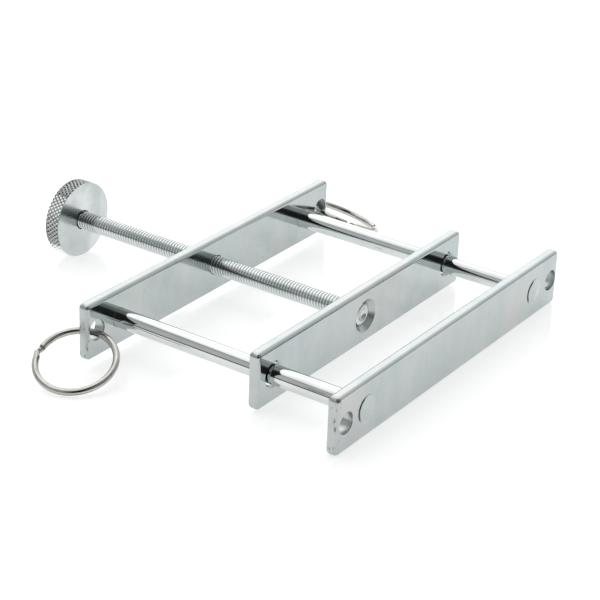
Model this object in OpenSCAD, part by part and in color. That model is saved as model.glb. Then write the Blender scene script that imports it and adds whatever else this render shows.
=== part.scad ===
// Guided screw clamp: two fixed bars joined by two guide rods, and a loose pressure bar
// that a hand-turned M4 spindle pushes towards the front bar. Millimetres, +Z up.
// X runs along the bars and Y along the rods. The origin is the middle of the front bar's
// bottom face.

/* [Bars] */
// Length of the front bar and the rear bar
bar_length = 82.5; // [78:0.5:100]
// Length of the sliding pressure bar
pressure_bar_length = 73; // [70:0.5:76]
// Height of all three bars
bar_height = 12; // [10:0.5:16]
// Thickness of all three bars
bar_thickness = 2.5; // [2.5:0.25:4]
// Radius on the long edges of the bars
edge_radius = 0.8; // [0.2:0.1:1]
// Distance from the front bar to the rear bar, centre to centre
frame_depth = 58.5; // [50:0.5:70]
// Distance from the front bar to the pressure bar, centre to centre
jaw_opening = 21; // [12:0.5:30]
// Diameter of the holes at the ends of the front and rear bars
end_hole_d = 4.4; // [4:0.1:5]
// Distance from each end hole's centre to the bar's end
end_hole_inset = 2.9; // [2.6:0.1:3.5]

/* [Guide rods] */
// Diameter of the guide rods
rod_d = 4; // [3:0.1:4.5]
// Distance between the guide rods, centre to centre
rod_spacing = 63; // [50:0.5:64]
// Diameter of the riveted heads at both ends of a rod
rod_head_d = 5.7; // [5:0.1:6.5]
// Height of a riveted head above the bar's face
rod_head_height = 0.35; // [0.2:0.05:0.6]
// Diameter of the pressure bar's clearance holes for the rods
guide_hole_d = 4.9; // [4.6:0.1:5.4]
// Width of the chamfer at both mouths of those holes
guide_hole_chamfer = 0.35; // [0.2:0.05:0.5]

/* [Spindle] */
// Outside diameter of the thread
thread_d = 3.96; // [3.9:0.01:4]
// Pitch of the thread
thread_pitch = 0.7; // [0.5:0.05:0.8]
// Depth of the thread
thread_depth = 0.4; // [0.2:0.05:0.45]
// Diameter of the hole in the rear bar that the thread runs in
nut_hole_d = 4.1; // [4.06:0.01:4.2]
// Diameter of the turned-down ends of the spindle
tail_d = 3; // [2.6:0.1:3]
// Diameter of the pressure bar's bore for the spindle's front end
tail_bore_d = 3.12; // [3.04:0.02:3.2]
// Diameter of the flared head on the spindle's front end
tail_head_d = 4.6; // [4:0.1:4.8]
// Depth of the flared head's face below the pressure bar's front face
tail_head_depth = 0.7; // [0.6:0.1:0.9]
// Diameter of the countersink's mouth in the pressure bar
countersink_d = 7.2; // [6.8:0.1:8]

/* [Knob] */
// Distance from the origin to the knob's inner face
knob_y = 94; // [85:0.5:100]
// Diameter of the knob
knob_d = 17; // [14:0.5:20]
// Thickness of the knob
knob_width = 3.5; // [3:0.1:6]
// Chamfer on both rims of the knob
knob_chamfer = 0.3; // [0.2:0.1:0.6]
// Number of knurl grooves in each direction
knurl_count = 44; // [36:4:44]

/* [Split rings] */
// Outside diameter of a split ring
ring_d = 17.2; // [16:0.2:20]
// Width of the ring's wire, across the ring
wire_width = 1.4; // [0.9:0.1:1.4]
// Thickness of one turn of the wire
wire_thickness = 0.7; // [0.5:0.02:0.7]
// How far each ring slopes down from the rear bar, left then right
ring_slope = [21.5, 24]; // [10:0.5:40]
// How far each ring is turned towards the front bar, left then right
ring_yaw = [15.5, 27]; // [0:0.5:30]
// How far each ring leans about its own slope line, left then right
ring_lean = [1.5, -1.5]; // [-5:0.5:5]

/* [Hidden] */
$fn = 48;

mid_z = bar_height / 2;
half_bar = bar_thickness / 2;
half_rod_spacing = rod_spacing / 2;
end_hole_x = bar_length / 2 - end_hole_inset;

// A riveted head fills a countersink of this depth, and is a shallow dome above the face
rod_sink_depth = 1;
rod_dome_r = (pow(rod_head_d / 2, 2) + pow(rod_head_height, 2)) / (2 * rod_head_height);

// Gap between the spindle's shoulders or flared head and the pressure bar
turning_gap = 0.1;
tail_head_edge = 0.45;
tail_dimple_d = 2.8;
tail_dimple_depth = 0.5;
spindle_front = jaw_opening + half_bar + turning_gap;
spindle_mouth_d = 5;
thread_turns = floor((knob_y - spindle_front) / thread_pitch);
thread_r = thread_d / 2;

knurl_angle = 30;
knurl_groove = 0.5;

// A split ring is two turns of wire. The lower turn steps up over the last degrees of its
// circle, and a small gap is left before the upper turn's end.
ring_step = 16;
ring_end_gap = 3;
ring_end = 720 - ring_step - ring_end_gap;
ring_segments = 120;
wire_corner = 0.27;
turn_gap = 0.04;
ring_wire_r = (ring_d - wire_width) / 2;
// Where the step is in each ring, left then right, counted round the coil
ring_step_place = [98, 262];
// How far below the hole's centre the wire lies in each ring's hole, left then right
ring_drop = [0.75, 0.3];
// How far outwards of the hole's centre the wire lies
ring_out = 0.2;

// An upright bar of the given length, with rounded long edges, centred on X and Y
module plain_bar(length) {
    inner_w = bar_thickness - 2 * edge_radius;
    inner_h = bar_height - 2 * edge_radius;
    translate([-length / 2, 0, mid_z])
        rotate([90, 0, 90])
            linear_extrude(length)
                union() {
                    square([bar_thickness, inner_h], center = true);
                    square([inner_w, bar_height], center = true);
                    for (x = [-1, 1], y = [-1, 1])
                        translate([x * inner_w / 2, y * inner_h / 2])
                            circle(edge_radius);
                }
}

// Children drawn along Z at a place on a bar, turned to run along Y through its middle
module across_bar(x) {
    translate([x, 0, mid_z])
        rotate([-90, 0, 0])
            children();
}

// A straight hole through a bar
module hole(d) {
    cylinder(h = bar_thickness + 2, d = d, center = true);
}

// A conical mouth at the bar's front face (side = -1) or rear face (side = 1)
module mouth(d, bottom_d, depth, side) {
    over = 0.5;
    slope = (d - bottom_d) / depth;
    mirror([0, 0, side < 0 ? 1 : 0])
        translate([0, 0, half_bar - depth])
            cylinder(h = depth + over, d1 = bottom_d, d2 = d + slope * over);
}

module front_bar() {
    color("lightsteelblue") difference() {
        plain_bar(bar_length);
        for (side = [-1, 1]) {
            across_bar(side * end_hole_x) hole(end_hole_d);
            across_bar(side * half_rod_spacing) {
                hole(rod_d);
                mouth(rod_head_d, rod_d, rod_sink_depth, -1);
            }
        }
    }
}

module rear_bar() {
    color("lightsteelblue") translate([0, frame_depth, 0]) difference() {
        plain_bar(bar_length);
        for (side = [-1, 1]) {
            across_bar(side * end_hole_x) hole(end_hole_d);
            across_bar(side * half_rod_spacing) {
                hole(rod_d);
                mouth(rod_head_d, rod_d, rod_sink_depth, 1);
            }
        }
        across_bar(0) {
            hole(nut_hole_d);
            mouth(spindle_mouth_d, nut_hole_d, guide_hole_chamfer, -1);
            mouth(spindle_mouth_d, nut_hole_d, guide_hole_chamfer, 1);
        }
    }
}

module pressure_bar() {
    color("lightsteelblue") translate([0, jaw_opening, 0]) difference() {
        plain_bar(pressure_bar_length);
        for (side = [-1, 1])
            across_bar(side * half_rod_spacing) {
                hole(guide_hole_d);
                mouth(guide_hole_d + 2 * guide_hole_chamfer, guide_hole_d, guide_hole_chamfer, -1);
                mouth(guide_hole_d + 2 * guide_hole_chamfer, guide_hole_d, guide_hole_chamfer, 1);
            }
        across_bar(0) {
            hole(tail_bore_d);
            mouth(countersink_d, tail_bore_d, (countersink_d - tail_bore_d) / 2, -1);
        }
    }
}

// One riveted rod end: a cone that fills the countersink and a shallow dome above it
module rod_end() {
    translate([0, 0, -rod_sink_depth])
        cylinder(h = rod_sink_depth, d1 = rod_d, d2 = rod_head_d);
    intersection() {
        cylinder(h = rod_head_height, d = rod_head_d);
        translate([0, 0, rod_head_height - rod_dome_r])
            sphere(rod_dome_r, $fn = 96);
    }
}

module guide_rod(side) {
    color("gainsboro") translate([side * half_rod_spacing, 0, mid_z]) rotate([-90, 0, 0]) union() {
        translate([0, 0, -half_bar])
            cylinder(h = frame_depth + bar_thickness, d = rod_d);
        translate([0, 0, frame_depth + half_bar])
            rod_end();
        translate([0, 0, -half_bar])
            mirror([0, 0, 1])
                rod_end();
    }
}

// The half outline of the spindle's thread, as crests and roots from front to rear
function thread_outline() = [
    for (i = [0 : thread_turns - 1], point = [0, 1])
        [thread_r - point * thread_depth, spindle_front + (i + point / 2) * thread_pitch]
];

module spindle() {
    head_face = jaw_opening - half_bar + tail_head_depth;
    head_r = tail_head_d / 2;
    tail_r = tail_d / 2;
    cone_start = head_face + tail_head_edge;
    color("silver") translate([0, 0, mid_z]) rotate([-90, 0, 0]) difference() {
        rotate_extrude() polygon(concat(
            [[0, head_face], [head_r, head_face], [head_r, cone_start]],
            [[tail_r, cone_start + head_r - tail_r], [tail_r, spindle_front]],
            [[thread_r - thread_depth, spindle_front]],
            thread_outline(),
            [[thread_r, knob_y], [tail_r, knob_y], [tail_r, knob_y + knob_width], [0, knob_y + knob_width]]
        ));
        translate([0, 0, head_face - 0.01])
            cylinder(h = tail_dimple_depth, d1 = tail_dimple_d, d2 = tail_dimple_d / 2);
    }
}

// The grooves of a diamond knurl, round a disc that lies on Z = 0
module knurl_grooves() {
    for (i = [0 : knurl_count - 1], lean = [-1, 1])
        rotate([0, 0, i * 360 / knurl_count])
            translate([knob_d / 2, 0, knob_width / 2])
                rotate([lean * knurl_angle, 0, 0])
                    rotate([0, 0, 45])
                        cube([knurl_groove, knurl_groove, 2 * knob_width], center = true);
}

module knob() {
    rim_r = knob_d / 2;
    face_r = rim_r - knob_chamfer;
    mouth_depth = 0.4;
    color("silver") translate([0, knob_y, mid_z]) rotate([-90, 0, 0]) difference() {
        rotate_extrude($fn = 96) polygon([
            [0, 0], [face_r, 0], [rim_r, knob_chamfer],
            [rim_r, knob_width - knob_chamfer], [face_r, knob_width], [0, knob_width]
        ]);
        cylinder(h = 3 * knob_width, d = tail_d, center = true);
        translate([0, 0, -0.01])
            cylinder(h = mouth_depth, d1 = spindle_mouth_d, d2 = tail_d);
        knurl_grooves();
    }
}

// Height of the wire's centre line at angle a along the coil
function coil_z(a) =
    let (s = min(1, max(0, (a - (360 - ring_step)) / ring_step)))
    (wire_thickness + turn_gap) * (s * s * (3 - 2 * s) - 0.5);

// The wire's cross-section, a rectangle with cut corners, as [across, up] points
function wire_section() =
    let (w = wire_width / 2, t = wire_thickness / 2, c = wire_corner)
    [[w, c - t], [w, t - c], [w - c, t], [c - w, t], [-w, t - c], [-w, c - t], [c - w, -t], [w - c, -t]];

// A two-turn split ring, flat on Z = 0, with its step at angle zero
module split_ring() {
    section = wire_section();
    sides = len(section);
    points = [
        for (i = [0 : ring_segments])
            let (a = i * ring_end / ring_segments)
            for (p = section)
                [(ring_wire_r + p[0]) * cos(a), (ring_wire_r + p[0]) * sin(a), coil_z(a) + p[1]]
    ];
    walls = [
        for (i = [0 : ring_segments - 1], j = [0 : sides - 1])
            let (a = i * sides + j, b = i * sides + (j + 1) % sides)
            [a, b, b + sides, a + sides]
    ];
    first_end = [for (j = [sides - 1 : -1 : 0]) j];
    last_end = [for (j = [0 : sides - 1]) ring_segments * sides + j];
    polyhedron(points, concat(walls, [first_end, last_end]), convexity = 6);
}

// A split ring hanging in the rear bar's end hole and lying outwards (side = -1 left, 1 right)
module hung_ring(side) {
    i = side < 0 ? 0 : 1;
    color("darkgray")
        translate([side * (end_hole_x + ring_out), frame_depth, mid_z - ring_drop[i]])
            rotate([ring_lean[i], side * ring_slope[i], -side * ring_yaw[i]])
                translate([side * ring_wire_r, 0, 0])
                    rotate([0, 0, ring_step_place[i]])
                        split_ring();
}

module guide_rod_left() {
    guide_rod(-1);
}

module guide_rod_right() {
    guide_rod(1);
}

module split_ring_left() {
    hung_ring(-1);
}

module split_ring_right() {
    hung_ring(1);
}

front_bar();
rear_bar();
guide_rod_left();
guide_rod_right();
pressure_bar();
spindle();
knob();
split_ring_left();
split_ring_right();
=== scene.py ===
"""Guided screw clamp: the finished pieces, metals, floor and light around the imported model.

The clamp has three flat bars of bright zinc-plated steel, two polished guide rods, a zinc
spindle with a knurled knob, and two nickel split rings. Everything is in metres, +Z up, and
the origin is the middle of the front bar's bottom face. X runs along the bars, and +Y from the
front bar to the knob.
"""

import math

import bmesh
import bpy
from mathutils import Matrix, Vector, noise


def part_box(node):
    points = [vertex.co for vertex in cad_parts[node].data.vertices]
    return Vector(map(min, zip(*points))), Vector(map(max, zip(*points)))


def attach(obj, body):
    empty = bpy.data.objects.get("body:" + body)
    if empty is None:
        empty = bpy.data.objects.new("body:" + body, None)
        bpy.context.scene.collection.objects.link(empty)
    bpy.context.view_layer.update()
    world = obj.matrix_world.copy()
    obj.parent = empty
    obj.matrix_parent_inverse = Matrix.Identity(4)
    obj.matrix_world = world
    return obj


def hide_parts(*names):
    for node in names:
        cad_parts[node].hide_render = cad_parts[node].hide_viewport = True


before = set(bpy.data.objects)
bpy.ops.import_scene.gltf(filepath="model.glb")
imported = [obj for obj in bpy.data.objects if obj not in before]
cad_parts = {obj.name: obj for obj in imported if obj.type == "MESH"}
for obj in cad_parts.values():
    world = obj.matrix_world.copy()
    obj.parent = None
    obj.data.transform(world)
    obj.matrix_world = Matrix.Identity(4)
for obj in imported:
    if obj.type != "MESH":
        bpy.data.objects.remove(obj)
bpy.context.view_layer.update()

MM = 0.001
TURN = 2 * math.pi

# ---------------------------------------------------------------- sizes, in metres

front_low, front_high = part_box("front_bar")
rear_low, rear_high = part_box("rear_bar")
press_low, press_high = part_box("pressure_bar")
rod_low, rod_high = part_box("guide_rod_right")
knob_low, knob_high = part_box("knob")
spindle_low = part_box("spindle")[0]

AXIS_Z = (front_low.z + front_high.z) / 2
ROD_X = (rod_low.x + rod_high.x) / 2
FRONT_Y = (front_low.y + front_high.y) / 2
REAR_Y = (rear_low.y + rear_high.y) / 2
PRESS_Y = (press_low.y + press_high.y) / 2
HALF_BAR = (front_high.y - front_low.y) / 2
END_HOLE_X = front_high.x - 2.9 * MM

# Bars
CORNER_ROUND = 1.0 * MM
EDGE_ROUND = 0.8 * MM
END_HOLE_R = 2.2 * MM
GUIDE_HOLE_R = 2.45 * MM
GUIDE_CHAMFER = 0.33 * MM
NUT_HOLE_R = 2.06 * MM
NUT_CHAMFER = 0.14 * MM
SINK_R = 3.6 * MM
TAIL_BORE_R = 1.56 * MM
HOLE_LIP = 0.14 * MM
TIGHT_LIP = 0.06 * MM

# Guide rods
ROD_R = 2 * MM
ROD_HOLE_R = 2.03 * MM
HEAD_R = (rod_high.x - rod_low.x) / 2
HEAD_PROUD = FRONT_Y - HALF_BAR - rod_low.y
HEAD_WALL = 0.06 * MM
HEAD_FOOT = 0.03 * MM
DEEPEST_BLOW = 0.22 * MM

# Spindle
PITCH = 0.7 * MM
THREAD_R = 1.98 * MM
THREAD_DEPTH = 0.36 * MM
TAIL_R = 1.5 * MM
TAIL_HEAD_R = 2.3 * MM
TAIL_HEAD_EDGE = 0.45 * MM
DIMPLE_R = 1.35 * MM
DIMPLE_DEPTH = 0.5 * MM
SHOULDER_GAP = 0.1 * MM
RUN_IN = 0.6 * MM

# Knob
KNOB_R = (knob_high.x - knob_low.x) / 2
KNOB_START = knob_low.y
KNOB_WIDTH = knob_high.y - knob_low.y
KNURL_CELLS = 56
KNURL_DEPTH = 0.42 * MM
KNURL_EDGE = 0.16 * MM
KNURL_EDGE_SLOPE = 1.3
MOUTH_R = 2.2 * MM
LATHE_FEED = 0.16 * MM

# Split rings, left then right
RING_MEAN_R = 7.9 * MM
WIRE_WIDTH = 1.4 * MM
WIRE_THICKNESS = 0.7 * MM
TURN_GAP = 0.04 * MM
RING_STEP = 16
RING_END_GAP = 3
RING_SLOPE = (21.5, 24)
RING_YAW = (15.5, 27)
RING_LEAN = (1.5, -1.5)
RING_STEP_PLACE = (98, 262)
RING_DROP = (0.75 * MM, 0.3 * MM)
RING_OUT = 0.2 * MM

# ---------------------------------------------------------------- node trees as expressions


class Wire:
    """One output socket. Arithmetic on it adds Math nodes to its tree."""

    def __init__(self, maker, socket):
        self.maker = maker
        self.socket = socket

    def math(self, operation, *others):
        return self.maker.math(operation, self, *others)

    def __add__(self, other):
        return self.math("ADD", other)

    def __sub__(self, other):
        return self.math("SUBTRACT", other)

    def __mul__(self, other):
        return self.math("MULTIPLY", other)

    def __truediv__(self, other):
        return self.math("DIVIDE", other)

    def __rsub__(self, other):
        return self.maker.math("SUBTRACT", other, self)

    def __rtruediv__(self, other):
        return self.maker.math("DIVIDE", other, self)

    __radd__ = __add__
    __rmul__ = __mul__

    def __abs__(self):
        return self.math("ABSOLUTE")

    def __pow__(self, other):
        return self.math("POWER", other)

    def fract(self):
        return self.math("FRACT")

    def sin(self):
        return self.math("SINE")

    def cos(self):
        return self.math("COSINE")

    def lower(self, other):
        return self.math("MINIMUM", other)

    def higher(self, other):
        return self.math("MAXIMUM", other)

    def clamped(self):
        return self.higher(0.0).lower(1.0)

    def between(self, low, high):
        """0 at low, 1 at high, and straight between them."""
        return ((self - low) / (high - low)).clamped()


class Maker:
    """Adds nodes to one tree: settings first, then socket values or links."""

    def __init__(self, tree):
        self.tree = tree

    def add(self, kind, settings=None, values=None):
        node = self.tree.nodes.new(kind)
        for name, value in (settings or {}).items():
            if name == "stops":
                self.set_stops(node.color_ramp, value)
            else:
                setattr(node, name, value)
        for name, value in (values or {}).items():
            if isinstance(value, Wire):
                self.tree.links.new(value.socket, node.inputs[name])
            else:
                node.inputs[name].default_value = value
        return node

    def out(self, kind, settings=None, values=None, output=0):
        return Wire(self, self.add(kind, settings, values).outputs[output])

    def math(self, operation, *values):
        return self.out("ShaderNodeMath", {"operation": operation}, dict(enumerate(values)))

    def set_stops(self, ramp, stops):
        while len(ramp.elements) < len(stops):
            ramp.elements.new(1.0)
        for element, (place, colour) in zip(ramp.elements, stops):
            element.position = place
            element.color = colour

    def mix(self, factor, first, second):
        """Blends two colours by a factor."""
        values = {0: factor, 6: first, 7: second}
        settings = {"data_type": "RGBA", "clamp_factor": True}
        return self.out("ShaderNodeMix", settings, values, output=2)

    def scaled(self, vector, scale):
        """A vector with each axis multiplied by its own number."""
        return self.out("ShaderNodeVectorMath", {"operation": "MULTIPLY"}, {0: vector, 1: scale})

    def noise(self, vector, scale, detail=2.0, roughness=0.5):
        values = {"Vector": vector, "Scale": scale, "Detail": detail, "Roughness": roughness}
        return self.out("ShaderNodeTexNoise", {}, values)

    def split(self, vector):
        parts = self.add("ShaderNodeSeparateXYZ", {}, {"Vector": vector})
        return [Wire(self, socket) for socket in parts.outputs]


# ---------------------------------------------------------------- metals

SILVER_GREY = (0.505, 0.545, 0.54, 1.0)
COOL_GREY = (0.445, 0.495, 0.50, 1.0)
WARM_GREY = (0.53, 0.54, 0.525, 1.0)
ROD_STEEL = (0.70, 0.73, 0.725, 1.0)
ROD_STEEL_DULL = (0.60, 0.635, 0.63, 1.0)
KNOB_ZINC = (0.65, 0.685, 0.68, 1.0)
RIM_ZINC = (0.80, 0.82, 0.815, 1.0)
SPINDLE_ZINC = (0.67, 0.71, 0.705, 1.0)
SPINDLE_DULL = (0.57, 0.61, 0.605, 1.0)
NICKEL = (0.53, 0.528, 0.50, 1.0)
NICKEL_DULL = (0.45, 0.445, 0.42, 1.0)
# Dark grey for real scuffs, pits and scratches, and also for painted shade in the knurl grooves and
# thread roots.
GRIME_AND_PAINTED_SHADE = (0.10, 0.11, 0.115, 1.0)
# Painted shadow under the overhanging rim of the hammered rod heads.
PAINTED_RIM_SHADOW = (0.03, 0.035, 0.035, 1.0)


def new_metal(name):
    """A material whose Principled shader is metal, with its maker and object coordinates."""
    material = bpy.data.materials.new(name)
    material.use_nodes = True
    material.node_tree.nodes.clear()
    maker = Maker(material.node_tree)
    place = maker.out("ShaderNodeTexCoord", {}, {}, output="Object")
    return material, maker, place


def from_axis(x, z):
    """How far a point is from the spindle's axis."""
    return (x**2.0 + (z - AXIS_Z) ** 2.0) ** 0.5


def finish_metal(maker, colour, roughness, height, bump):
    """Joins a colour, a roughness and a height, in units of bump metres, to a metal shader."""
    values = {"Height": height, "Strength": 1.0, "Distance": bump}
    normal = maker.out("ShaderNodeBump", {}, values)
    shader = maker.out(
        "ShaderNodeBsdfPrincipled",
        {},
        {
            "Base Color": colour,
            "Roughness": roughness,
            "Metallic": 1.0,
            "Normal": normal,
        },
    )
    maker.add("ShaderNodeOutputMaterial", {}, {"Surface": shader})


def zinc_plate():
    """Bright zinc on flat bars: cool mottling, faint upright streaks and scuffed ends, and a
    duller finish inside the end holes and the pressure bar's countersink."""
    material, maker, place = new_metal("bright_zinc_plate")
    x, y, z = maker.split(place)
    streaks = maker.noise(maker.scaled(place, (150.0, 150.0, 85.0)), 1.0, 4.0, 0.6)
    clouds = maker.noise(place, 70.0, 3.0, 0.55)
    grain = maker.noise(place, 2600.0, 3.0, 0.65)
    pits = maker.noise(place, 900.0, 2.0, 0.5).between(0.70, 0.78)
    tint = maker.mix(streaks.between(0.35, 0.65), COOL_GREY, SILVER_GREY)
    tint = maker.mix(clouds.between(0.50, 0.68) * 0.75, tint, WARM_GREY)
    end = abs(x).between(front_high.x - 1.2 * MM, front_high.x - 0.2 * MM)
    scuff = maker.noise(maker.scaled(place, (900.0, 900.0, 420.0)), 1.0, 3.0, 0.7)
    scuff = scuff.between(0.57, 0.66) * end
    tint = maker.mix(scuff * 0.75 + pits * 0.25, tint, GRIME_AND_PAINTED_SHADE)
    face = PRESS_Y - HALF_BAR
    sunk = y.between(face + 0.03 * MM, face + 0.06 * MM)
    sunk = sunk * (1.0 - y.between(PRESS_Y, PRESS_Y + HALF_BAR))
    sunk = sunk * (1.0 - from_axis(x, z).between(SINK_R, SINK_R + 0.2 * MM))
    from_hole = ((abs(x) - END_HOLE_X) ** 2.0 + (z - AXIS_Z) ** 2.0) ** 0.5
    bored = 1.0 - from_hole.between(END_HOLE_R + 0.02 * MM, END_HOLE_R + HOLE_LIP)
    dull = (sunk * 0.6).higher(bored * 0.5)
    roughness = 0.045 + clouds * 0.07 + grain * 0.02 + end * 0.2 + scuff * 0.2 + dull * 0.35
    height = grain * 0.12 + streaks * 0.15 - scuff * 3.0 - pits * 0.8
    finish_metal(maker, tint, roughness, height, 0.006 * MM)
    return material


def rod_steel():
    """Polished drawn rod: fine lines along it, a few short scratches, and duller hammered
    heads with a ragged painted shadow on the side of their rim toward -X and upward."""
    material, maker, place = new_metal("polished_rod_steel")
    lines = maker.noise(maker.scaled(place, (2400.0, 40.0, 2400.0)), 1.0, 3.0, 0.6)
    clouds = maker.noise(place, 140.0, 2.0, 0.5)
    scratch = maker.noise(maker.scaled(place, (1500.0, 160.0, 1500.0)), 1.0, 1.0, 0.5)
    scratch = scratch.between(0.70, 0.76)
    tint = maker.mix(clouds.between(0.40, 0.65) * 0.6, ROD_STEEL, ROD_STEEL_DULL)
    tint = maker.mix(scratch * 0.35, tint, GRIME_AND_PAINTED_SHADE)
    x, y, z = maker.split(place)
    middle = (FRONT_Y + REAR_Y) / 2
    half = (REAR_Y - FRONT_Y) / 2 + HALF_BAR
    head = abs(y - middle).between(half, half + 0.05 * MM)
    tint = maker.mix(head, tint, SILVER_GREY)
    across = abs(x) - ROD_X
    radius = (across**2.0 + (z - AXIS_Z) ** 2.0) ** 0.5
    # Painted shadow: a ragged dark band just inside each head's rim, on its side toward -X and
    # upward, standing in for the shade under the overhanging rim.
    ragged = maker.noise(place, 1100.0, 2.0, 0.6) * 0.5 * MM
    rim = (radius + ragged).between(HEAD_R - 0.25 * MM, HEAD_R - 0.05 * MM)
    toward_shadow_side = 0.0 - x / abs(x) * across + 0.3 * (z - AXIS_Z)
    rim_shadow = rim * toward_shadow_side.between(0.45 * HEAD_R, 0.75 * HEAD_R)
    tint = maker.mix(rim_shadow * head, tint, PAINTED_RIM_SHADOW)
    roughness = 0.04 + clouds * 0.04 + lines * 0.03 + scratch * 0.15 + head * 0.17
    finish_metal(maker, tint, roughness, lines * 0.6 - scratch * 1.5, 0.003 * MM)
    return material


def spindle_zinc():
    """Zinc on a rolled thread: soft grey flanks, painted shade in the roots, and a duller plain tail.
    """
    material, maker, place = new_metal("spindle_zinc")
    x, y, z = maker.split(place)
    radius = from_axis(x, z)
    grain = maker.noise(place, 1800.0, 3.0, 0.6)
    clouds = maker.noise(place, 160.0, 2.0, 0.5)
    root = 1.0 - radius.between(THREAD_R - THREAD_DEPTH, THREAD_R - THREAD_DEPTH * 0.4)
    on_thread = y.between(PRESS_Y + HALF_BAR, PRESS_Y + HALF_BAR + PITCH)
    tint = maker.mix(clouds.between(0.35, 0.65) * 0.6, SPINDLE_ZINC, SPINDLE_DULL)
    # Painted shade: the thread's roots are darkened toward the dark grey.
    tint = maker.mix(root * on_thread * 0.3, tint, GRIME_AND_PAINTED_SHADE)
    roughness = 0.11 + grain * 0.06 + clouds * 0.06 + (1.0 - on_thread) * 0.12
    finish_metal(maker, tint, roughness, grain * 0.5, 0.006 * MM)
    return material


def knob_zinc():
    """Zinc on a turned disc: faint lathe rings on its faces and painted shade in the knurl grooves.
    """
    material, maker, place = new_metal("knob_zinc")
    x, y, z = maker.split(place)
    radius = from_axis(x, z)
    from_face = (y - KNOB_START).lower(KNOB_START + KNOB_WIDTH - y)
    rim = from_face.between(0.12 * MM, 0.2 * MM)
    groove = 1.0 - radius.between(KNOB_R - KNURL_DEPTH, KNOB_R - 0.72 * KNURL_DEPTH)
    wobble = maker.noise(place, 300.0, 2.0, 0.5)
    rings = (radius * (TURN / LATHE_FEED) + wobble * 2.0).sin() * 0.5 + 0.5
    grain = maker.noise(place, 2200.0, 3.0, 0.6)
    clouds = maker.noise(place, 130.0, 3.0, 0.5)
    tint = maker.mix(clouds.between(0.40, 0.62), KNOB_ZINC, SILVER_GREY)
    tint = maker.mix(rim, tint, RIM_ZINC)
    # Painted shade: the knurl grooves are darkened to the dark grey.
    tint = maker.mix(rim * groove, tint, GRIME_AND_PAINTED_SHADE)
    roughness = 0.12 + clouds * 0.08 + rings * 0.04 + grain * 0.03 - rim * 0.09
    height = rings * (1.0 - rim) * 0.35 + grain * 0.3
    finish_metal(maker, tint, roughness, height, 0.004 * MM)
    return material


def ring_nickel():
    """Nickel on spring wire: mirror bright, with rubbed patches and short scratches."""
    material, maker, place = new_metal("ring_nickel")
    clouds = maker.noise(place, 260.0, 3.0, 0.6)
    scratch = maker.noise(maker.scaled(place, (900.0, 900.0, 2600.0)), 1.0, 2.0, 0.6)
    scratch = scratch.between(0.62, 0.70)
    grain = maker.noise(place, 2600.0, 2.0, 0.5)
    tint = maker.mix(clouds.between(0.42, 0.62), NICKEL, NICKEL_DULL)
    tint = maker.mix(scratch * 0.2, tint, GRIME_AND_PAINTED_SHADE)
    roughness = 0.03 + clouds * 0.04 + scratch * 0.12
    finish_metal(maker, tint, roughness, grain * 0.2 - scratch * 0.5, 0.002 * MM)
    return material


# ---------------------------------------------------------------- mesh helpers

SMOOTH_ANGLE = math.radians(32)


def new_piece(name, mesh, material):
    piece = bpy.data.objects.new(name, mesh)
    bpy.context.scene.collection.objects.link(piece)
    mesh.materials.clear()
    mesh.materials.append(material)
    return piece


def arc(centre, radius, start, end, steps):
    """Points on an arc of an outline, as (radius, along) pairs, angles in degrees."""
    angles = [math.radians(start + (end - start) * i / steps) for i in range(steps + 1)]
    return [(centre[0] + radius * math.cos(a), centre[1] + radius * math.sin(a)) for a in angles]


def lathe(bm, outline, segments, x=0.0):
    """Turns (radius, along Y) points round the line along Y through x and mid height.
    An outline that starts and ends on the line gives a closed solid."""
    rows = []
    for radius, along in outline:
        if radius < 1e-9:
            rows.append([bm.verts.new((x, along, AXIS_Z))])
            continue
        angles = [TURN * i / segments for i in range(segments)]
        places = [(x + radius * math.sin(a), along, AXIS_Z + radius * math.cos(a)) for a in angles]
        rows.append([bm.verts.new(place) for place in places])
    for first, second in zip(rows, rows[1:]):
        for i in range(segments):
            j = (i + 1) % segments
            corners = [first[i % len(first)], first[j % len(first)]]
            corners += [second[j % len(second)], second[i % len(second)]]
            corners = list(dict.fromkeys(corners))
            if len(corners) > 2:
                bm.faces.new(corners)
    return rows


def to_mesh(bm, name, merge=0.0):
    """A finished mesh: doubles merged, normals outwards, smooth with crisp corners."""
    if merge:
        bmesh.ops.remove_doubles(bm, verts=bm.verts, dist=merge)
    bmesh.ops.recalc_face_normals(bm, faces=bm.faces)
    mesh = bpy.data.meshes.new(name)
    bm.to_mesh(mesh)
    bm.free()
    mesh.shade_smooth()
    mesh.set_sharp_from_angle(angle=SMOOTH_ANGLE)
    return mesh


def applied(piece, name):
    """A plain mesh of a piece with its modifiers applied."""
    graph = bpy.context.evaluated_depsgraph_get()
    mesh = bpy.data.meshes.new_from_object(piece.evaluated_get(graph))
    mesh.name = name
    return mesh


def drop(piece):
    bpy.data.objects.remove(piece)


# ---------------------------------------------------------------- bars


def hole_cutter(bm, x, y, radius, front, rear):
    """A solid to cut a hole through a bar at y. front and rear are each mouth's
    (width, depth), cut as a cone with a softened lip, or (lip, 0) for a rounded lip."""
    reach = HALF_BAR + 1.0 * MM

    def mouth(width, depth, side):
        if depth:
            lip = TIGHT_LIP
            wide = radius + width
            return [
                (radius, side * (HALF_BAR - depth)),
                (wide - lip, side * (HALF_BAR - lip * depth / width)),
                (wide, side * (HALF_BAR - 0.2 * lip)),
                (wide + lip, side * HALF_BAR),
                (wide + lip, side * reach),
            ]
        centre = (radius + width, side * (HALF_BAR - width))
        rounded = arc(centre, width, 180, 180 - side * 90, 4)
        return [*rounded, (radius + width, side * reach)]

    outline = [(0.0, -reach), *reversed(mouth(*front, -1)), *mouth(*rear, 1), (0.0, reach)]
    lathe(bm, [(r, along + y) for r, along in outline], 72, x)


def runs_through(edge):
    """Whether an edge runs along Y, through a bar's thickness."""
    return abs(edge.verts[0].co.y - edge.verts[1].co.y) > HALF_BAR


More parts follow.
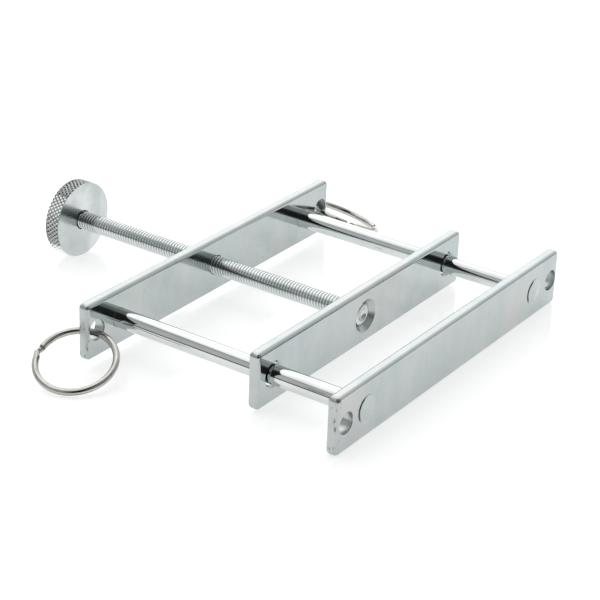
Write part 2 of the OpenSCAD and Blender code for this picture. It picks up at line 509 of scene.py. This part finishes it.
def bevel_sharp(bm, width, steps, chosen):
    edges = [e for e in bm.edges if e.calc_face_angle(0) > 0.6 and chosen(e)]
    bmesh.ops.bevel(bm, geom=edges, offset=width, segments=steps, profile=0.5, affect="EDGES")


def make_bar(name, low, high, holes, material):
    """A flat bar with rounded corners and edges, and its holes cut with soft lips."""
    bm = bmesh.new()
    bmesh.ops.create_cube(bm, size=1.0)
    for vert in bm.verts:
        vert.co = Vector((high[i] if vert.co[i] > 0 else low[i]) for i in range(3))
    bevel_sharp(bm, CORNER_ROUND, 5, runs_through)
    bevel_sharp(bm, EDGE_ROUND, 6, lambda edge: True)
    bar = new_piece(name, to_mesh(bm, name), material)
    bm = bmesh.new()
    for hole in holes:
        hole_cutter(bm, *hole)
    cutter = new_piece(name + "_cutter", to_mesh(bm, name + "_cutter"), material)
    cut = bar.modifiers.new("holes", "BOOLEAN")
    cut.operation = "DIFFERENCE"
    cut.solver = "EXACT"
    cut.object = cutter
    plain = applied(bar, name)
    drop(bar)
    drop(cutter)
    plain.shade_smooth()
    plain.set_sharp_from_angle(angle=SMOOTH_ANGLE)
    bar = new_piece(name, plain, material)
    weighted = bar.modifiers.new("flat_faces_stay_flat", "WEIGHTED_NORMAL")
    weighted.keep_sharp = True
    weighted.weight = 100
    finished = applied(bar, name)
    drop(bar)
    return new_piece(name, finished, material)


def make_bars(material):
    lip = (HOLE_LIP, 0.0)
    tight = (TIGHT_LIP, 0.0)
    guide = (GUIDE_CHAMFER, GUIDE_CHAMFER)
    nut = (NUT_CHAMFER, NUT_CHAMFER)
    sink = SINK_R - TAIL_BORE_R
    sides = (-1, 1)

    def fixed(y):
        ends = [(s * END_HOLE_X, y, END_HOLE_R, lip, lip) for s in sides]
        rods = [(s * ROD_X, y, ROD_HOLE_R, tight, tight) for s in sides]
        return ends + rods

    guides = [(s * ROD_X, PRESS_Y, GUIDE_HOLE_R, guide, guide) for s in sides]
    spindle_hole = (0.0, REAR_Y, NUT_HOLE_R, nut, nut)
    tail_hole = (0.0, PRESS_Y, TAIL_BORE_R, (sink, sink), lip)
    front = make_bar("front_plate", front_low, front_high, fixed(FRONT_Y), material)
    rear_holes = fixed(REAR_Y) + [spindle_hole]
    rear = make_bar("rear_plate", rear_low, rear_high, rear_holes, material)
    press = make_bar("pressure_plate", press_low, press_high, guides + [tail_hole], material)
    return front, rear, press


# ---------------------------------------------------------------- guide rods


def peened_head(face, side):
    """Outline of a riveted head, from the bar's face out to its crown on the line."""
    points = [(ROD_R, face), (HEAD_R - HEAD_FOOT, face), (HEAD_R, face + side * HEAD_WALL)]
    crown = HEAD_PROUD - HEAD_WALL
    rings = 10
    for i in range(1, rings + 1):
        share = math.cos(i / rings * math.pi / 2) if i < rings else 0.0
        height = HEAD_WALL + crown * (1 - share**2.6) ** (1 / 1.7)
        points.append((HEAD_R * share, face + side * height))
    return points


def hammered(across, up, seed):
    """How far hammering presses a head's crown in at one point: three flats at slight angles,
    one corner clipped, and a fine ripple."""
    first = TURN * noise.noise((seed * 900.0, 0.3, 0.7))
    blows = ((0.7 + first, 0.12), (2.9 + first, 0.08), (4.6 + first, 0.06))
    depths = [tilt * (across * math.cos(a) + up * math.sin(a)) for a, tilt in blows]
    clipped = 0.75 * max(0.0, 0.6 * up - 0.8 * across - 0.82 * HEAD_R)
    ripple = 0.05 * MM * (noise.noise((across * 900.0, up * 900.0, seed * 900.0)) + 1) / 2
    return min(max(0.0, *depths), DEEPEST_BLOW) + ripple + clipped


def make_rod(name, x, material):
    """A round rod from bar to bar, with a hammered rivet head at each end."""
    front_face = FRONT_Y - HALF_BAR
    rear_face = REAR_Y + HALF_BAR
    outline = list(reversed(peened_head(front_face, -1)))
    outline += peened_head(rear_face, 1)
    bm = bmesh.new()
    lathe(bm, outline, 72, x)
    for vert in bm.verts:
        beyond = max(front_face - vert.co.y, vert.co.y - rear_face)
        if beyond > 0.1 * MM:
            inward = math.copysign(1, REAR_Y / 2 - vert.co.y)
            struck = hammered(vert.co.x - x, vert.co.z - AXIS_Z, x * inward)
            vert.co.y += inward * min(struck, beyond - 0.05 * MM)
    return new_piece(name, to_mesh(bm, name), material)


# ---------------------------------------------------------------- geometry node trees


def number_input(tree, name, kind="NodeSocketFloat"):
    return tree.interface.new_socket(name, in_out="INPUT", socket_type=kind)


def start_tree(name, numbers, counts=()):
    """A geometry node tree with named inputs. Gives its maker and a wire for each input."""
    tree = bpy.data.node_groups.new(name, "GeometryNodeTree")
    for entry in numbers:
        number_input(tree, entry)
    for entry in counts:
        number_input(tree, entry, "NodeSocketInt")
    number_input(tree, "Metal", "NodeSocketMaterial")
    tree.interface.new_socket("Geometry", in_out="OUTPUT", socket_type="NodeSocketGeometry")
    maker = Maker(tree)
    entries = maker.add("NodeGroupInput")
    wires = {s.name: Wire(maker, s) for s in entries.outputs if s.name}
    return maker, wires


def end_tree(maker, geometry, metal):
    """Ends a tree in Realize Instances and Set Material."""
    real = maker.out("GeometryNodeRealizeInstances", {}, {"Geometry": geometry})
    done = maker.out("GeometryNodeSetMaterial", {}, {"Geometry": real, "Material": metal})
    maker.add("NodeGroupOutput", {}, {"Geometry": done})


def grown(maker, name, values):
    """A plain mesh of what a geometry node tree makes with these input values."""
    holder = bpy.data.objects.new(name, bpy.data.meshes.new(name))
    bpy.context.scene.collection.objects.link(holder)
    modifier = holder.modifiers.new(name, "NODES")
    modifier.node_group = maker.tree
    for item in maker.tree.interface.items_tree:
        if item.in_out == "INPUT":
            modifier[item.identifier] = values[item.name]
    mesh = applied(holder, name)
    drop(holder)
    return mesh


def unit_grid(maker, columns, rows):
    """A flat grid and its places across and along, both running from 0 to 1."""
    sizes = {"Size X": 1.0, "Size Y": 1.0, "Vertices X": columns, "Vertices Y": rows}
    grid = maker.out("GeometryNodeMeshGrid", {}, sizes)
    x, y = maker.split(maker.out("GeometryNodeInputPosition"))[:2]
    return grid, x + 0.5, y + 0.5


def round_axis(maker, radius, angle, along, height):
    """A point at a radius and angle round the line along Y at a height."""
    values = {"X": radius * angle.sin(), "Y": along, "Z": radius * angle.cos() + height}
    return maker.out("ShaderNodeCombineXYZ", {}, values)


def moved(maker, geometry, place):
    return maker.out("GeometryNodeSetPosition", {}, {"Geometry": geometry, "Position": place})


def merged(maker, geometry, distance):
    values = {"Geometry": geometry, "Distance": distance}
    return maker.out("GeometryNodeMergeByDistance", {}, values)


def thread_tree():
    """A helical thread: one profile of a single pitch, carried along and round the spindle."""
    numbers = ["Start", "Pitch", "Root Radius", "Depth", "Height"]
    maker, wires = start_tree("helical_thread", numbers, ["Turns", "Steps Per Turn"])
    rows = wires["Turns"] * wires["Steps Per Turn"] + 1
    grid, across, along = unit_grid(maker, 9, rows)
    turn = along * wires["Turns"]
    flank = (0.5 - abs(across - 0.5)) * 4.2
    runout = (turn.lower(wires["Turns"] - turn) * 6.0).clamped()
    rounded = flank.clamped() * (2.0 - flank.clamped())
    radius = wires["Root Radius"] + wires["Depth"] * rounded * runout
    reach = wires["Start"] + (turn + across) * wires["Pitch"]
    place = round_axis(maker, radius, turn * TURN, reach, wires["Height"])
    thread = merged(maker, moved(maker, grid, place), 0.002 * MM)
    end_tree(maker, thread, wires["Metal"])
    return maker


def knurl_tree():
    """A band of diamond knurl round the knob's rim, with both of its edges turned down."""
    numbers = ["Radius", "Depth", "Start", "Width", "Edge", "Height"]
    maker, wires = start_tree("diamond_knurl", numbers, ["Cells", "Steps Per Cell", "Rows"])
    columns = wires["Cells"] * wires["Steps Per Cell"] + 1
    grid, around, across = unit_grid(maker, columns, wires["Rows"] + 1)
    cells_round = around * wires["Cells"]
    cells_across = across * wires["Rows"] / wires["Steps Per Cell"]
    groove_one = abs((cells_round + cells_across).fract() - 0.5)
    groove_two = abs((cells_round - cells_across + 100.0).fract() - 0.5)
    land = ((0.5 - groove_one.higher(groove_two)) / 0.47).clamped()
    knurled = wires["Radius"] - wires["Depth"] * (1.0 - land)
    from_edge = across.lower(1.0 - across) * wires["Width"]
    turned = wires["Radius"] - (wires["Edge"] - from_edge).higher(0.0) * KNURL_EDGE_SLOPE
    radius = knurled.lower(turned)
    reach = wires["Start"] + across * wires["Width"]
    place = round_axis(maker, radius, around * TURN, reach, wires["Height"])
    band = merged(maker, moved(maker, grid, place), 0.001 * MM)
    end_tree(maker, band, wires["Metal"])
    return maker


def ring_tree():
    """Nearly two turns of half-round wire, flat sides together. The lower turn's last degrees
    step up and roll over into the upper turn."""
    numbers = ["Mean Radius", "Wire Width", "Wire Thickness", "Gap", "Step", "End"]
    maker, wires = start_tree("split_ring_coil", numbers, ["Points"])
    line = maker.out("GeometryNodeMeshLine", {}, {"Count": wires["Points"]})
    curve = maker.out("GeometryNodeMeshToCurve", {}, {"Mesh": line})
    index = maker.out("GeometryNodeInputIndex")
    degrees = index / (wires["Points"] - 1.0) * wires["End"]
    climb = ((degrees - 360.0 + wires["Step"]) / wires["Step"]).clamped()
    eased = climb * climb * (3.0 - 2.0 * climb)
    rise = (wires["Wire Thickness"] + wires["Gap"]) * (eased - 0.5)
    angle = degrees * math.radians(1)
    radius = wires["Mean Radius"]
    values = {"X": radius * angle.cos(), "Y": radius * angle.sin(), "Z": rise}
    coil = moved(maker, curve, maker.out("ShaderNodeCombineXYZ", {}, values))
    upright = maker.out("GeometryNodeSetCurveNormal", {"mode": "Z_UP"}, {"Curve": coil})
    turned_over = {"Curve": upright, "Tilt": eased * math.pi}
    twisted = maker.out("GeometryNodeSetCurveTilt", {}, turned_over)
    circle = maker.out("GeometryNodeCurvePrimitiveCircle", {}, {"Resolution": 32, "Radius": 0.5})
    x, y = maker.split(maker.out("GeometryNodeInputPosition"))[:2]
    dome = (y.higher(0.0) * 2.0 - 0.5) * wires["Wire Thickness"]
    half_round = maker.out("ShaderNodeCombineXYZ", {}, {"X": x * wires["Wire Width"], "Y": dome})
    section = moved(maker, circle, half_round)
    sweep = {"Curve": twisted, "Profile Curve": section, "Fill Caps": True}
    end_tree(maker, maker.out("GeometryNodeCurveToMesh", {}, sweep), wires["Metal"])
    return maker


# ---------------------------------------------------------------- spindle, knob and rings


def make_spindle(material):
    """The threaded rod, with its flared front tail and its plain rear tail in the knob."""
    head_face = spindle_low.y
    head_back = head_face + TAIL_HEAD_EDGE
    root = THREAD_R - THREAD_DEPTH
    core = root - 0.02 * MM
    thread_start = PRESS_Y + HALF_BAR + SHOULDER_GAP
    turns = math.floor((KNOB_START + RUN_IN - thread_start) / PITCH) - 1
    thread = grown(
        thread_tree(),
        "spindle_thread",
        {
            "Start": thread_start,
            "Pitch": PITCH,
            "Root Radius": root,
            "Depth": THREAD_DEPTH,
            "Height": AXIS_Z,
            "Turns": turns,
            "Steps Per Turn": 30,
            "Metal": material,
        },
    )
    bm = bmesh.new()
    bm.from_mesh(thread)
    bmesh.ops.holes_fill(bm, edges=[e for e in bm.edges if e.is_boundary], sides=0)
    rim_r = DIMPLE_R + 0.35 * MM
    outline = [(0.0, head_face + DIMPLE_DEPTH), (0.55 * DIMPLE_R, head_face + DIMPLE_DEPTH)]
    outline += [(0.85 * DIMPLE_R, head_face + 0.55 * DIMPLE_DEPTH), (DIMPLE_R, head_face + 0.08 * MM)]
    outline += [(DIMPLE_R + 0.12 * MM, head_face + 0.01 * MM), (rim_r, head_face)]
    outline += [(TAIL_HEAD_R - 0.15 * MM, head_face + 0.08 * MM)]
    outline += [(TAIL_HEAD_R, head_face + 0.2 * MM), (TAIL_HEAD_R, head_back)]
    outline += [(TAIL_R, head_back + TAIL_HEAD_R - TAIL_R), (TAIL_R, thread_start)]
    outline += [(core, thread_start), (core, KNOB_START), (TAIL_R, KNOB_START)]
    outline += [(TAIL_R, knob_high.y - 0.1 * MM), (TAIL_R - 0.1 * MM, knob_high.y)]
    outline += [(0.0, knob_high.y)]
    lathe(bm, outline, 60)
    return new_piece("threaded_spindle", to_mesh(bm, "threaded_spindle"), material)


def make_knob(material):
    """The knurled disc: the knurl band round its rim and two turned faces."""
    steps_per_cell = 8
    band = grown(
        knurl_tree(),
        "knurl_band",
        {
            "Radius": KNOB_R,
            "Depth": KNURL_DEPTH,
            "Start": KNOB_START,
            "Width": KNOB_WIDTH,
            "Edge": KNURL_EDGE,
            "Height": AXIS_Z,
            "Cells": KNURL_CELLS,
            "Steps Per Cell": steps_per_cell,
            "Rows": 24,
            "Metal": material,
        },
    )
    bm = bmesh.new()
    bm.from_mesh(band)
    bore = TAIL_R + 0.02 * MM
    mouth_lip = 0.06 * MM
    face_r = KNOB_R - KNURL_EDGE_SLOPE * KNURL_EDGE
    front = KNOB_START
    rear = knob_high.y
    outline = [(face_r, front), (0.72 * face_r, front), (0.45 * face_r, front)]
    outline += [(MOUTH_R, front), (MOUTH_R - mouth_lip, front + mouth_lip)]
    outline += [(MOUTH_R - mouth_lip, front + RUN_IN), (bore, front + RUN_IN)]
    outline += [(bore, rear - 0.12 * MM), (bore + 0.12 * MM, rear), (0.45 * face_r, rear)]
    outline += [(0.72 * face_r, rear), (face_r, rear)]
    lathe(bm, outline, KNURL_CELLS * steps_per_cell)
    return new_piece("knurled_knob", to_mesh(bm, "knurled_knob", 0.002 * MM), material)


def hung(side):
    """The matrix that hangs a ring from the rear bar's end hole, lying outwards."""
    i = 0 if side < 0 else 1
    hook = Vector((side * (END_HOLE_X + RING_OUT), REAR_Y, AXIS_Z - RING_DROP[i]))
    lean = Matrix.Rotation(math.radians(RING_LEAN[i]), 4, "X")
    slope = Matrix.Rotation(math.radians(side * RING_SLOPE[i]), 4, "Y")
    yaw = Matrix.Rotation(math.radians(-side * RING_YAW[i]), 4, "Z")
    out = Matrix.Translation((side * RING_MEAN_R, 0, 0))
    step = Matrix.Rotation(math.radians(RING_STEP_PLACE[i]), 4, "Z")
    return Matrix.Translation(hook) @ yaw @ slope @ lean @ out @ step


def make_rings(material):
    tree = ring_tree()
    sizes = {
        "Mean Radius": RING_MEAN_R,
        "Wire Width": WIRE_WIDTH,
        "Wire Thickness": WIRE_THICKNESS,
        "Gap": TURN_GAP,
        "Step": RING_STEP,
        "End": 720 - RING_STEP - RING_END_GAP,
        "Points": 361,
        "Metal": material,
    }
    rings = []
    for side, name in ((-1, "left_ring_coil"), (1, "right_ring_coil")):
        bm = bmesh.new()
        bm.from_mesh(grown(tree, name, sizes))
        bmesh.ops.transform(bm, matrix=hung(side), verts=bm.verts)
        rings.append(new_piece(name, to_mesh(bm, name, 0.001 * MM), material))
    return rings


# ---------------------------------------------------------------- floor, light and camera


def make_floor():
    """A glossy white sheet that the front bar and the knob's rim rest on. In the metal it looks
    dark beyond its end, on the camera's side; the camera itself sees it white all over."""
    front_rest = Vector((0, front_low.y, front_low.z))
    knob_rest = Vector((0, (knob_low.y + knob_high.y) / 2, knob_low.z))
    along = (knob_rest - front_rest).normalized()
    reach = 1.5
    gap = 0.02 * MM
    middle = (front_rest + knob_rest) / 2 - Vector((0, 0, gap))
    corners = [
        middle + Vector((sx * reach, 0, 0)) + along * (sy * reach)
        for sx, sy in ((-1, -1), (1, -1), (1, 1), (-1, 1))
    ]
    mesh = bpy.data.meshes.new("floor")
    mesh.from_pydata(corners, [], [(0, 1, 2, 3)])
    material = bpy.data.materials.new("floor_white")
    material.use_nodes = True
    material.node_tree.nodes.clear()
    maker = Maker(material.node_tree)
    place = maker.out("ShaderNodeTexCoord", {}, {}, output="Object")
    x, y = maker.split(place)[:2]
    seen = maker.out("ShaderNodeLightPath", {}, {}, output="Is Camera Ray")
    toward_camera = 0.0 - 0.83 * x - 0.56 * y
    sheet_end = toward_camera.between(0.12, 0.18) * (1.0 - seen)
    shader = maker.out(
        "ShaderNodeBsdfPrincipled",
        {},
        {
            "Base Color": maker.mix(sheet_end, (0.62, 0.625, 0.625, 1.0), grey(0.03)),
            "Roughness": 0.12,
            "Specular IOR Level": 0.4,
            "Emission Color": maker.mix(sheet_end, grey(1.0), grey(0.02)),
            "Emission Strength": 0.62,
        },
    )
    maker.add("ShaderNodeOutputMaterial", {}, {"Surface": shader})
    floor = new_piece("floor", mesh, material)


def grey(value):
    return (value, value, value, 1.0)


def make_world():
    """A light tent: bright behind, above and to the right, dark on the camera's side and at the
    horizon, with a dim room high up behind the camera. The camera itself sees plain white."""
    world = bpy.data.worlds.new("light_tent")
    bpy.context.scene.world = world
    world.use_nodes = True
    world.node_tree.nodes.clear()
    maker = Maker(world.node_tree)
    place = maker.out("ShaderNodeTexCoord", {}, {}, output="Generated")
    x, y, z = maker.split(place)
    stops = [
        (0.0, grey(0.8)),
        (0.49, grey(0.8)),
        (0.5, grey(0.05)),
        (0.53, grey(0.08)),
        (0.58, grey(1.0)),
        (0.75, grey(1.0)),
        (0.90, grey(0.7)),
        (1.0, grey(0.7)),
    ]
    height = maker.out("ShaderNodeValToRGB", {"stops": stops}, {"Fac": z * 0.5 + 0.5})
    tent = height * (0.55 + 1.1 * x.between(-0.4, 0.6))
    right = x.between(0.1, 0.7)
    room = (0.0 - y).between(0.6, 0.75) * z.between(0.3, 0.45)
    dark = 0.02 + (0.65 * right).higher(0.42 * room)
    lit = (y - 0.2 * x * (1.0 - right) + 0.3 * right).between(-0.2, 0.2 + 0.5 * right)
    lit = lit.higher(z.between(0.76, 0.90) * x.between(-0.35, 0.1))
    tent = dark + (tent - dark) * lit
    light = maker.out("ShaderNodeBackground", {}, {"Color": grey(1.0), "Strength": tent})
    plain = maker.out("ShaderNodeBackground", {}, {"Color": grey(0.95), "Strength": 1.0})
    seen = maker.out("ShaderNodeLightPath", {}, {}, output="Is Camera Ray")
    both = maker.out("ShaderNodeMixShader", {}, {0: seen, 1: light, 2: plain})
    maker.add("ShaderNodeOutputWorld", {}, {"Surface": both})


def make_softbox(name, place, target, size, power):
    lamp = bpy.data.lights.new(name, "AREA")
    lamp.shape = "RECTANGLE"
    lamp.size = size[0]
    lamp.size_y = size[1]
    lamp.energy = power
    box = bpy.data.objects.new(name, lamp)
    box.location = place
    box.rotation_euler = (Vector(target) - Vector(place)).to_track_quat("-Z", "Y").to_euler()
    bpy.context.scene.collection.objects.link(box)


def make_lights():
    centre = (0.0, 0.04, 0.0)
    make_softbox("overhead_softbox", (-0.05, 0.25, 0.75), centre, (0.9, 0.6), 1.2)


def make_camera():
    """A long lens looking down from the front left, turned slightly about its own axis."""
    azimuth = math.radians(-55.98)
    elevation = math.radians(26.19)
    roll = math.radians(2.32)
    back = Vector((
        math.sin(azimuth) * math.cos(elevation),
        -math.cos(azimuth) * math.cos(elevation),
        math.sin(elevation),
    ))
    level = Vector((0, 0, 1)).cross(back).normalized()
    upright = back.cross(level)
    right = math.cos(roll) * level + math.sin(roll) * upright
    up = -math.sin(roll) * level + math.cos(roll) * upright
    turned = Matrix((right, up, back)).transposed().to_4x4()
    data = bpy.data.cameras.new("camera")
    data.sensor_width = 36
    data.lens = 115.4
    data.clip_start = 0.01
    camera = bpy.data.objects.new("camera", data)
    camera.matrix_world = Matrix.Translation((-0.2927, -0.1618, 0.1782)) @ turned
    bpy.context.scene.collection.objects.link(camera)
    bpy.context.scene.camera = camera


# ---------------------------------------------------------------- the whole model

bpy.context.scene.view_settings.view_transform = "Standard"
make_camera()
make_floor()
make_world()
make_lights()

zinc = zinc_plate()
rod_metal = rod_steel()
spindle_metal = spindle_zinc()
knob_metal = knob_zinc()
nickel = ring_nickel()

front_plate, rear_plate, pressure_plate = make_bars(zinc)
left_rod = make_rod("left_rod", -ROD_X, rod_metal)
right_rod = make_rod("right_rod", ROD_X, rod_metal)
spindle = make_spindle(spindle_metal)
knob = make_knob(knob_metal)
left_ring, right_ring = make_rings(nickel)

PIECES = (
    (front_plate, "frame", "front_bar", "bar_plate"),
    (rear_plate, "frame", "rear_bar", "bar_plate"),
    (left_rod, "frame", "guide_rod_left", "rod_steel"),
    (right_rod, "frame", "guide_rod_right", "rod_steel"),
    (pressure_plate, "pressure_bar", "pressure_bar", "bar_plate"),
    (spindle, "screw", "spindle", "spindle_steel"),
    (knob, "screw", "knob", "knob_plate"),
    (left_ring, "ring_left", "split_ring_left", "ring_nickel"),
    (right_ring, "ring_right", "split_ring_right", "ring_nickel"),
)
for piece, body, node, slot in PIECES:
    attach(piece, body)
    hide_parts(node)
